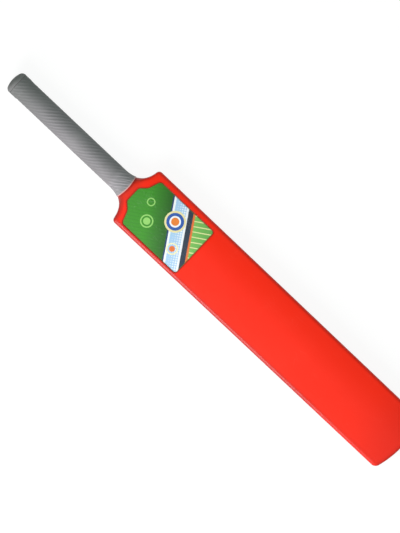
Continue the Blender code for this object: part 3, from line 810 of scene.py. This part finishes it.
def makeSleeve(table, rubber):
    piece = newPiece("gripSleeve", sleeveBase(table))
    modifier = piece.modifiers.new("ribs", "NODES")
    modifier.node_group = ribTree()
    values = {**sleeve["ribs"], "Material": rubber}
    for item in modifier.node_group.interface.items_tree:
        if item.item_type == "SOCKET" and item.in_out == "INPUT" and item.name in values:
            modifier[item.identifier] = values[item.name]
    mesh = plainMesh(piece)
    shadeSmooth(mesh, sleeve["sharpAngle"])
    print("grip sleeve:", len(mesh.vertices), "points")
    return piece


# The end plug

plug = {
    "wall": 0.0035,
    "skirtLength": 0.010,
    "endThickness": 0.0058,
    "dome": 0.0044,
    "cornerRadius": 0.0070,
    "skirtRounding": 0.0005,
    "spigotLength": 0.018,
    "spigotWall": 0.0022,
    "spigotLeadIn": 0.0010,
    "edge": (0.0035, 0.003),  # the station of the dome's edge, which is rubbed and has painted shade, and how far both reach
    "arcSteps": 14,
    "turnSteps": 160,
    "mergeDistance": 0.00001,
    "sharpAngle": 40.0,
}


def arcPoints(centre, radius, start, end):
    angles = np.linspace(start, end, plug["arcSteps"] + 1)
    return [(centre[0] + radius * math.sin(angle), centre[1] + radius * math.cos(angle)) for angle in angles]


def plugProfile():
    # radius and height of the half section, from the dome's middle round to the spigot's floor
    bore = body["coreRadius"] + clearance
    radius = bore + plug["wall"]
    corner, rounding = plug["cornerRadius"], plug["skirtRounding"]
    domeRadius = (radius**2 + plug["dome"]**2) / (2 * plug["dome"])
    lean = math.asin((radius - corner) / (domeRadius - corner))
    cornerHeight = (domeRadius - corner) * math.cos(lean) - domeRadius
    spigot = body["coreRadius"] - body["wall"] - clearance
    skirt, seat = -plug["skirtLength"], -plug["endThickness"]
    floor = seat - plug["spigotLength"]
    return [
        *arcPoints((0.0, -domeRadius), domeRadius, 0.0, lean),
        *arcPoints((radius - corner, cornerHeight), corner, lean, math.pi / 2)[1:],
        *arcPoints((radius - rounding, skirt + rounding), rounding, math.pi / 2, math.pi),
        (bore, skirt),
        (bore, seat),
        (spigot, seat),
        (spigot, floor + plug["spigotLeadIn"]),
        (spigot - plug["spigotLeadIn"], floor),
        (spigot - plug["spigotWall"], floor),
        (spigot - plug["spigotWall"], seat),
        (0.0, seat),
    ]


def makePlug():
    profile = plugProfile()
    mesh = bpy.data.meshes.new("endPlug")
    mesh.from_pydata([(-height, 0.0, radius) for radius, height in profile],
                     [(index, index + 1) for index in range(len(profile) - 1)], [])
    piece = newPiece("endPlug", mesh)
    turned = piece.modifiers.new("turned", "SCREW")
    turned.axis = "X"
    turned.steps = turned.render_steps = plug["turnSteps"]
    turned.use_merge_vertices = True
    turned.merge_threshold = plug["mergeDistance"]
    mesh = plainMesh(piece)
    for vertex in mesh.vertices:
        vertex.co.x += handlePlace[0]
        vertex.co.z += handlePlace[2]
    outwardMesh(mesh, merge=plug["mergeDistance"])
    shadeSmooth(mesh, plug["sharpAngle"])
    middle, reach = plug["edge"]
    writeAttributes(mesh, edge=ease(1.0 - np.abs(meshPoints(mesh)[:, 0] - middle) / reach))
    print("end plug:", len(mesh.vertices), "points")
    return piece


# Shared effects, whose outputs have names of their own

effectSizes = {
    "scratchTurns": ((0.3, 9.0), (1.1, 7.0), (-0.5, 12.0)),  # the turn and the stretch of each direction
    "scratchShift": (0.13, 0.07, 0.0),
    "scratchPatches": (34.0, 11.0),  # the scale of the first direction's, and what each next one adds
    "patchRange": (0.56, 0.72),
    "rubRange": (0.0, 0.25),
    "dustSlope": (-0.2, 0.9),  # from no dust to full dust, by how far a surface faces upwards
    "dustGrains": (0.45, 0.75),
    "dustClouds": (0.35, 0.7),
    "cloudScale": 30.0,
}


def grainGroup():
    # the fine pitted surface that a mould leaves, as a height
    nodes, given = shaderGroup("mouldGrain", ["Grain"], Scale=900.0, Roughening=0.6, Widening=0.18, Share=0.6)
    pits = nodes.noise(given["Vector"], given["Scale"], 3.0, given["Roughening"])
    slow = nodes.noise(given["Vector"], nodes.times(given["Scale"], given["Widening"]), 2.0)
    rest = nodes.minus(1.0, given["Share"])
    return nodes.finish(Grain=nodes.plus(nodes.times(pits, given["Share"]), nodes.times(slow, rest)))


def scratchGroup():
    # long thin scratches from handling, in three directions and in patches
    nodes, given = shaderGroup("handlingScratches", ["Scratches"], Scale=60.0, Width=0.02, Amount=0.5)
    total = 0.0
    scale, added = effectSizes["scratchPatches"]
    for index, (turn, stretch) in enumerate(effectSizes["scratchTurns"]):
        shift = [index * step for step in effectSizes["scratchShift"]]
        bent = nodes.turned(given["Vector"], Rotation=(0.0, 0.0, turn), Scale=(1.0, stretch, 1.0),
                            Location=shift)
        cells = nodes.add("ShaderNodeTexVoronoi", {"Vector": bent, "Scale": given["Scale"]},
                          feature="DISTANCE_TO_EDGE").outputs["Distance"]
        line = nodes.minus(1.0, nodes.calc("DIVIDE", cells, given["Width"]), clamp=True)
        patch = nodes.noise(given["Vector"], scale + added * index, 1.0)
        shown = nodes.times(line, nodes.mapped(patch, *effectSizes["patchRange"]))
        total = nodes.calc("MAXIMUM", total, shown)
    return nodes.finish(Scratches=nodes.times(total, given["Amount"], clamp=True))


def wearGroup():
    # rubbed patches along edges, from an edge mask broken up by noise
    nodes, given = shaderGroup("edgeRub", ["Rub"], Edge=0.0, Scale=90.0, Amount=0.5)
    broken = nodes.noise(given["Vector"], given["Scale"], 5.0, 0.7)
    reach = nodes.plus(nodes.minus(given["Edge"], 1.0), nodes.times(broken, given["Amount"]))
    return nodes.finish(Rub=nodes.mapped(reach, *effectSizes["rubRange"], smooth=True))


def driftGroup():
    # slow change of tone over a surface, and finer specks, both centred on a half
    nodes, given = shaderGroup("toneDrift", ["Tone", "Speck"], Scale=12.0, Fineness=60.0)
    slow = nodes.noise(given["Vector"], given["Scale"], 3.0, 0.55)
    specks = nodes.noise(given["Vector"], nodes.times(given["Scale"], given["Fineness"]), 2.0)
    return nodes.finish(Tone=slow, Speck=specks)


def dustGroup():
    # dust that settles in clouds on upward surfaces
    nodes, given = shaderGroup("settledDust", ["Dust"], Scale=400.0, Amount=0.3)
    normal = nodes.add("ShaderNodeNewGeometry").outputs["Normal"]
    lying = nodes.mapped(nodes.split(normal)["Z"], *effectSizes["dustSlope"])
    grains = nodes.mapped(nodes.noise(given["Vector"], given["Scale"], 4.0, 0.75), *effectSizes["dustGrains"])
    clouds = nodes.noise(given["Vector"], effectSizes["cloudScale"], 2.0)
    clouds = nodes.mapped(clouds, *effectSizes["dustClouds"])
    settled = nodes.times(lying, nodes.times(grains, clouds))
    return nodes.finish(Dust=nodes.times(settled, given["Amount"], clamp=True))


groups = {"grain": grainGroup(), "scratches": scratchGroup(), "wear": wearGroup(), "drift": driftGroup(),
          "dust": dustGroup()}


# Finishes
# "layers" starts with a colour. Each layer after it is a colour and what shows it: the name of a mask and its
# strength, or the range over which its strength changes and the strengths at both ends. "roughened" and
# "height" are masks with their weights. "bump" is a strength and a distance.

class Finish(Nodes):
    # a material's nodes, and its masks by name: what the shared effects put out, and the mesh's attributes

    def __init__(self, name, look):
        self.material = bpy.data.materials.new(name)
        self.material.use_nodes = True
        super().__init__(self.material.node_tree)
        self.look, self.masks = look, {}
        self.place = self.add("ShaderNodeTexCoord").outputs["Object"]
        for effect, sizes in look["effects"].items():
            values = {size: self.shown(value) if isinstance(value, tuple) else value
                      for size, value in sizes.items()}
            made = self.add("ShaderNodeGroup", {"Vector": self.place, **values}, node_tree=groups[effect])
            self.masks.update({socket.name: socket for socket in made.outputs})

    def mask(self, name):
        if name not in self.masks:
            attribute = self.add("ShaderNodeAttribute", attribute_name=name, attribute_type="GEOMETRY")
            self.masks[name] = attribute.outputs["Fac"]
        return self.masks[name]

    def shown(self, *steps):
        # the product of masks, each mapped over its range or times its strength
        total = 1.0
        for name, first, *rest in steps:
            share = self.mapped(self.mask(name), first, *rest) if rest else self.times(self.mask(name), first)
            total = self.times(total, share)
        return total

    def painted(self, base, *layers):
        # a layer's colour can be a list with a base and layers of its own
        for shade, *steps in layers:
            shade = self.painted(*shade) if isinstance(shade, list) else shade
            base = self.mixed(self.shown(*steps), base, shade)
        return base

    def total(self, start, weights):
        for name, weight in weights.items():
            start = self.calc("MULTIPLY_ADD", self.mask(name), weight, start)
        return start

    def dressed(self, base=None):
        shader = self.tree.nodes["Principled BSDF"]
        shader.inputs["Specular IOR Level"].default_value = self.look["specular"]
        strength, distance = self.look["bump"]
        bump = {"Height": self.total(0.0, self.look["height"]), "Strength": strength, "Distance": distance}
        sockets = {"Base Color": base or self.painted(*self.look["layers"]),
                   "Roughness": self.total(self.look["roughness"], self.look["roughened"]),
                   "Normal": self.out("ShaderNodeBump", bump)}
        for socket, value in sockets.items():
            self.tree.links.new(value, shader.inputs[socket])
        return self.material


redPlastic = {
    "layers": [
        colour(251, 42, 19),
        (colour(255, 45, 22), ("Tone", 0.3, 0.7)),
        # painted shade: a deeper, less hazy red towards the +Y side, where the face turns from the light
        (colour(249, 38, 5), ("side", 0.0, 0.028)),
        (colour(252, 92, 74), ("Rub", 0.18)),  # rubbed edges
        (colour(252, 92, 74), ("Scratches", 0.3)),
        (colour(232, 120, 108), ("Dust", 1.0)),
        (colour(222, 36, 20), ("toToe", 0.004, 0.090, 0.50, 0.0, True)),  # painted shade, darker towards the toe
        (colour(168, 34, 26), ("fromEdge", 0.0006, 0.0090, 1.0, 0.0, True), ("toToe", 0.008, 0.16, 0.25, 1.0),
         ("side", -0.02, 0.02, 0.92, 0.15, True)),  # painted shade along the edges, strongest on the -Y side and fainter at the toe
        (colour(170, 48, 34), ("pastRim", 0.0035, 0.0170, 0.40, 0.0, True)),  # painted shade over the neck
        (colour(150, 24, 16), ("pastRim", 0.0012, 0.0046, 0.66, 0.0, True)),  # painted shade next to the sleeve's rim, where its contact shadow falls
        (colour(150, 32, 10), ("fromLabel", 0.0006, 0.0036, 0.52, 0.0, True)),  # painted shade round the label's recess
        (colour(150, 32, 10), ("recess", 0.75)),  # painted shade in the sunk panel's groove
    ],
    "specular": 0.30,
    "roughness": 0.24,
    "roughened": {"Tone": 0.12, "Rub": 0.10, "Scratches": 0.2, "Dust": 0.5},
    "height": {"Grain": 0.35, "Scratches": -0.5},
    "bump": (0.13, 0.0002),
    "effects": {
        "drift": {"Scale": 9.0},
        "grain": {"Scale": 700.0, "Roughening": 0.45},
        "scratches": {"Scale": 26.0, "Width": 0.018, "Amount": 0.5},
        "wear": {"Edge": ("fromEdge", 0.0008, 0.0045, 1.0, 0.0), "Scale": 60.0, "Amount": 0.34},
        "dust": {"Scale": 500.0, "Amount": 0.02},
    },
}

rubberDust = colour(157, 155, 154)
# the grooves, where painted shade darkens the rubber
inGrooves = ("groove", 0.1, 0.95, 0.0, 1.0, True)
greyRubber = {
    "layers": [
        colour(133, 132, 134),
        # painted shade in the grooves
        (colour(126, 125, 127), inGrooves),
        ([colour(184, 180, 185), (colour(122, 123, 124), inGrooves)], ("fine", 1.0)),  # the flare: painted highlight on its fine ridges and painted shade in its grooves
        # painted highlight on the sleeve's rounded lips
        (colour(150, 148, 150), ("lip", 0.3)),
        (colour(150, 149, 150), ("Rub", 0.3)),
        (colour(126, 125, 127), ("Tone", 0.3, 0.75, 0.0, 0.2)),
        (rubberDust, ("Dust", 1.0)),
        (colour(106, 110, 107), ("along", 0.0, 0.085, 0.66, 0.0, True)),  # painted shade, darker towards the plug
        (colour(216, 166, 162), ("toRim", 0.0008, 0.0020, 0.85, 0.0, True)),  # painted highlight: a pale line at the rim
    ],
    "specular": 0.28,
    "roughness": 0.56,
    "roughened": {"Speck": 0.16, "Dust": 0.3, "Rub": -0.08},
    "height": {"Grain": 1.0},
    "bump": (0.35, 0.00025),
    "effects": {
        "drift": {"Scale": 18.0},
        "grain": {"Scale": 1400.0, "Roughening": 0.7},
        "wear": {"Edge": ("groove", 0.0, 1.0, 1.0, 0.0), "Scale": 160.0, "Amount": 0.55},
        "dust": {"Scale": 700.0, "Amount": 0.25},
    },
}

plugRubber = {
    "layers": [
        colour(118, 119, 118),
        (colour(129, 129, 129), ("Tone", 0.3, 0.7)),
        # painted shade on the dome's edge, which turns away from the light
        (colour(92, 93, 92), ("edge", 0.35)),
        (colour(140, 140, 139), ("Rub", 0.25)),
        (colour(140, 140, 139), ("Scratches", 0.3)),
        (rubberDust, ("Dust", 1.0)),
    ],
    "specular": 0.25,
    "roughness": 0.61,
    "roughened": {"Speck": 0.14, "Dust": 0.3},
    "height": {"Grain": 1.0, "Scratches": -0.3},
    "bump": (0.3, 0.0002),
    "effects": {
        "drift": {"Scale": 40.0},
        "grain": {"Scale": 1700.0, "Roughening": 0.6},
        "scratches": {"Scale": 120.0, "Width": 0.03, "Amount": 0.5},
        "wear": {"Edge": ("edge", 1.0), "Scale": 260.0, "Amount": 0.5},
        "dust": {"Scale": 800.0, "Amount": 0.25},
    },
}


# The label's print is a plain pattern of slanting bands, rings and dots. Its lengths are in millimetres.
labelPrint = {
    "slant": math.radians(33),
    "stripes": (7.5, 1.5),  # pitch and width
    "pins": (5.0, 1.1),
    "dotPitch": 3.4,
    "slack": 0.001,  # so that a disc has its centre
    "dots": (62.0, 79.0, 0.2, 1.5),  # from, to, and the radii there, along the slanting direction
    "field": (92.5, 160.0),
    "ground": [
        colour(56, 147, 27),
        (colour(27, 86, 20), ("down", 24.0, 62.0)),
        (colour(27, 86, 20), ("pins", 0.22)),
    ],
    "bands": [  # from, to, colour
        (57.0, 59.0, colour(30, 58, 110)),
        (59.0, 62.0, colour(244, 248, 250)),
        (62.0, 79.0, colour(166, 206, 238)),
        (79.0, 82.0, colour(240, 244, 248)),
        (82.0, 89.5, colour(40, 56, 74)),
        (89.5, 92.5, colour(232, 118, 52)),
        (92.5, 160.0, colour(122, 192, 92)),
    ],
    "patterns": [
        (colour(60, 140, 58), ("field", 1.0), ("down", 92.5, 125.0, 0.0, 0.55)),
        (colour(224, 232, 160), ("field", 1.0), ("stripes", 1.0)),
        (colour(246, 250, 252), ("dots", 0.8)),
    ],
    "rings": [  # centre along and across, outer radius, inner radius, colour
        (70.0, 13.0, 15.5, 12.6, colour(236, 226, 168)),
        (70.0, 13.0, 12.6, 8.2, colour(44, 92, 176)),
        (70.0, 13.0, 8.2, 5.8, colour(244, 248, 250)),
        (70.0, 13.0, 5.8, 0.0, colour(236, 132, 48)),
        (40.0, -14.0, 9.5, 7.6, colour(150, 214, 110)),
        (40.0, -14.0, 5.2, 0.0, colour(150, 214, 110)),
        (26.0, 10.0, 6.0, 4.4, colour(150, 214, 110)),
        (93.0, -18.0, 8.6, 6.6, colour(244, 240, 190)),
        (93.0, -18.0, 4.2, 0.0, colour(232, 118, 52)),
    ],
    "wear": [
        # painted shade along the film's edge, beside the recess wall; then worn specks and scratches
        (colour(92, 112, 34), ("inset", 0.0003, 0.0015, 0.6, 0.0, True)),
        (colour(235, 238, 232), ("Speck", 0.35, 0.7, 0.0, 0.035)),
        (colour(230, 232, 228), ("Scratches", 0.3)),
    ],
    "specular": 0.5,
    "roughness": 0.20,
    "roughened": {"Tone": 0.12, "Scratches": 0.25},
    "height": {"Grain": 0.3, "Scratches": -1.0},
    "bump": (0.15, 0.00015),
    "effects": {
        "drift": {"Scale": 30.0},
        "grain": {"Scale": 1100.0, "Roughening": 0.5},
        "scratches": {"Scale": 42.0, "Width": 0.02, "Amount": 0.6},
    },
}


def between(nodes, value, low, high):
    return nodes.times(nodes.calc("GREATER_THAN", value, low), nodes.calc("LESS_THAN", value, high))


def striped(nodes, value, pitch, width):
    share = nodes.calc("FRACT", nodes.calc("DIVIDE", value, pitch))
    return nodes.calc("LESS_THAN", share, width / pitch)


def printedRing(nodes, place, centre, outer, inner=0.0):
    level = nodes.vectorMath("MULTIPLY", place, (1.0, 1.0, 0.0))[0]
    away = nodes.vectorMath("DISTANCE", level, (*centre, 0.0))["Value"]
    return between(nodes, away, inner - labelPrint["slack"], outer)


def labelFilm(look):
    film = Finish("printedLabelFilm", look)
    start = (-1000 * (handleEnd + labelTop), -1000 * label["offset"], 0.0)
    flat = film.turned(film.place, Location=start, Scale=(1000, 1000, 1000))
    slanted = film.turned(flat, Rotation=(0, 0, -look["slant"]))
    down, across, _ = film.split(slanted)
    low, high, *radii = look["dots"]
    pitch = look["dotPitch"]
    cell = film.vectorMath("SNAP", slanted, (pitch, pitch, pitch))[0]
    inCell = film.vectorMath("SUBTRACT", slanted, cell)[0]
    dots = printedRing(film, inCell, (pitch / 2, pitch / 2), film.mapped(down, low, high, *radii))
    film.masks.update(down=down, field=between(film, down, *look["field"]),
                      pins=striped(film, across, *look["pins"]),
                      stripes=striped(film, across, *look["stripes"]),
                      dots=film.times(between(film, down, low, high), dots))
    base = film.painted(*look["ground"])
    for *reach, shade in look["bands"]:
        base = film.mixed(between(film, down, *reach), base, shade)
    base = film.painted(base, *look["patterns"])
    for *centre, outer, inner, shade in look["rings"]:
        base = film.mixed(printedRing(film, flat, centre, outer, inner), base, shade)
    return film.dressed(film.painted(base, *look["wear"]))


# Pieces on the frame

finishes = {
    "red_moulded_plastic": Finish("redMouldedPlastic", redPlastic).dressed(),
    "grey_rubber": Finish("greyRubber", greyRubber).dressed(),
    "grey_rubber_plug": Finish("greyPlugRubber", plugRubber).dressed(),
    "printed_label_film": labelFilm(labelPrint),
}
print("materials made")

bodySkin = Skin(0.0, fine)
pieces = [
    (makeBlade(bodySkin), "blade_shell", "red_moulded_plastic"),
    (makeSleeve(bodySkin.polarTable(), finishes["grey_rubber"]), "grip_sleeve", "grey_rubber"),
    (makePlug(), "handle_end_cap", "grey_rubber_plug"),
    (makeLabel(), "face_label", "printed_label_film"),
]
for piece, node, slot in pieces:
    piece.data.materials.clear()
    piece.data.materials.append(finishes[slot])
    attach(piece, "root")
    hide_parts(node)
print("pieces placed")


# Table, light and camera

def seenRays(nodes):
    # the kinds of ray, and 1 for those that show the room to the camera, in reflections and through glass
    light = nodes.add("ShaderNodeLightPath").outputs
    seen = nodes.calc("MAXIMUM", light["Is Camera Ray"], light["Is Glossy Ray"])
    return light, nodes.calc("MAXIMUM", seen, light["Is Transmission Ray"])


def evenTone(tone):
    return (tone, tone, tone, 1.0)


table = {
    "size": 6.0,
    "colour": colour(196, 197, 196),  # that it lights the bat with
    "tone": 0.14,  # how far it shows shadows
    "glow": (0.90, 0.55),  # to the camera and in reflections
}


def makeTable():
    half = table["size"] / 2
    mesh = bpy.data.meshes.new("table")
    corners = [(-half, -half, 0), (half, -half, 0), (half, half, 0), (-half, half, 0)]
    mesh.from_pydata(corners, [], [(0, 1, 2, 3)])
    made = bpy.data.objects.new("table", mesh)
    scene.collection.objects.link(made)
    finish = bpy.data.materials.new("paleTable")
    finish.use_nodes = True
    nodes = Nodes(finish.node_tree)
    nodes.tree.nodes.clear()
    light, seen = seenRays(nodes)
    plain = nodes.out("ShaderNodeBsdfDiffuse", {"Color": table["colour"]})
    shaded = nodes.out("ShaderNodeBsdfDiffuse", {"Color": evenTone(table["tone"])})
    level = nodes.mapped(light["Is Glossy Ray"], 0.0, 1.0, *table["glow"])
    glow = nodes.out("ShaderNodeEmission", {"Color": evenTone(1.0), "Strength": level})
    white = nodes.out("ShaderNodeAddShader", {0: shaded, 1: glow})
    result = nodes.out("ShaderNodeMixShader", {0: seen, 1: plain, 2: white})
    nodes.add("ShaderNodeOutputMaterial", {"Surface": result})
    mesh.materials.append(finish)


room = {
    "ambient": 0.50,
    "ambientColour": (0.88, 1.0, 0.94, 1.0),
    "overhead": (-0.05, 0.16, 0.75, 0.0),  # across towards +Y, and how bright it is there in reflections
    "horizon": (-0.7, 0.0, 0.8, 0.30),
    "rise": (0.25, 0.85),  # where the horizon gives way to what is overhead
}


def makeWorld():
    # an even light, which the camera sees white and reflections see dimmer overhead and on the far side
    world = bpy.data.worlds.new("paleRoom")
    scene.world = world
    world.use_nodes = True
    nodes = Nodes(world.node_tree)
    nodes.tree.nodes.clear()
    light, seen = seenRays(nodes)
    _, across, up = nodes.split(nodes.add("ShaderNodeTexCoord").outputs["Generated"])
    overhead = nodes.mapped(across, *room["overhead"], smooth=True)
    horizon = nodes.mapped(across, *room["horizon"], smooth=True)
    level = nodes.mapped(up, *room["rise"], horizon, overhead, smooth=True)
    level = nodes.calc("MAXIMUM", level, light["Is Camera Ray"])
    lit, view = (nodes.out("ShaderNodeBackground", {"Color": tint, "Strength": strength})
                 for tint, strength in ((room["ambientColour"], room["ambient"]), (evenTone(1.0), level)))
    result = nodes.out("ShaderNodeMixShader", {0: seen, 1: lit, 2: view})
    nodes.add("ShaderNodeOutputWorld", {"Surface": result})


lamps = {  # bearing in plan from +X, and level as the light given to a surface that faces the lamp
    "key": {"bearing": -90.0, "elevation": 33.0, "distance": 1.0, "size": (0.6, 1.12), "level": 1.38,
            "middle": (0.03, 0.0, 0.0), "colour": (1.0, 0.93, 0.97)},
    "fill": {"bearing": 90.0, "elevation": 50.0, "distance": 1.0, "size": (0.3, 0.5), "level": 0.03,
             "middle": (-0.16, 0.0, 0.0), "colour": (0.96, 1.0, 0.98)},
}


def makeLamp(name, lamp):
    bearing, elevation = math.radians(lamp["bearing"]), math.radians(lamp["elevation"])
    flat = math.cos(elevation)
    away = np.array([math.cos(bearing) * flat, math.sin(bearing) * flat, math.sin(elevation)])
    data = bpy.data.lights.new(name, "AREA")
    data.shape = "RECTANGLE"
    data.size, data.size_y = lamp["size"]
    data.energy = lamp["level"] * (math.pi * lamp["distance"]) ** 2
    data.color = lamp["colour"]
    made = bpy.data.objects.new(name, data)
    scene.collection.objects.link(made)
    made.location = np.array(lamp["middle"]) + away * lamp["distance"]
    made.visible_camera = False
    made.rotation_euler = (math.pi / 2 - elevation, 0.0, bearing + math.pi / 2)


camera = {
    "turn": math.radians(43.4),
    "centre": (-0.0040, -0.0107),
    "facePlane": 0.038,
    "frameHeight": 0.7547,
    "lens": 300.0,
    "sensor": 36.0,
    "reach": 20.0,
}


def makeCamera():
    data = bpy.data.cameras.new("photoView")
    data.lens = camera["lens"]
    data.sensor_width = camera["sensor"]
    data.clip_end = camera["reach"]
    made = bpy.data.objects.new("photoView", data)
    scene.collection.objects.link(made)
    distance = camera["frameHeight"] * camera["lens"] / camera["sensor"]
    made.location = (*camera["centre"], camera["facePlane"] + distance)
    made.rotation_euler = (0.0, 0.0, camera["turn"])
    scene.camera = made


makeTable()
makeWorld()
for name, lamp in lamps.items():
    makeLamp(name, lamp)
makeCamera()
scene.view_settings.view_transform = "Standard"
print("table, light and camera made")
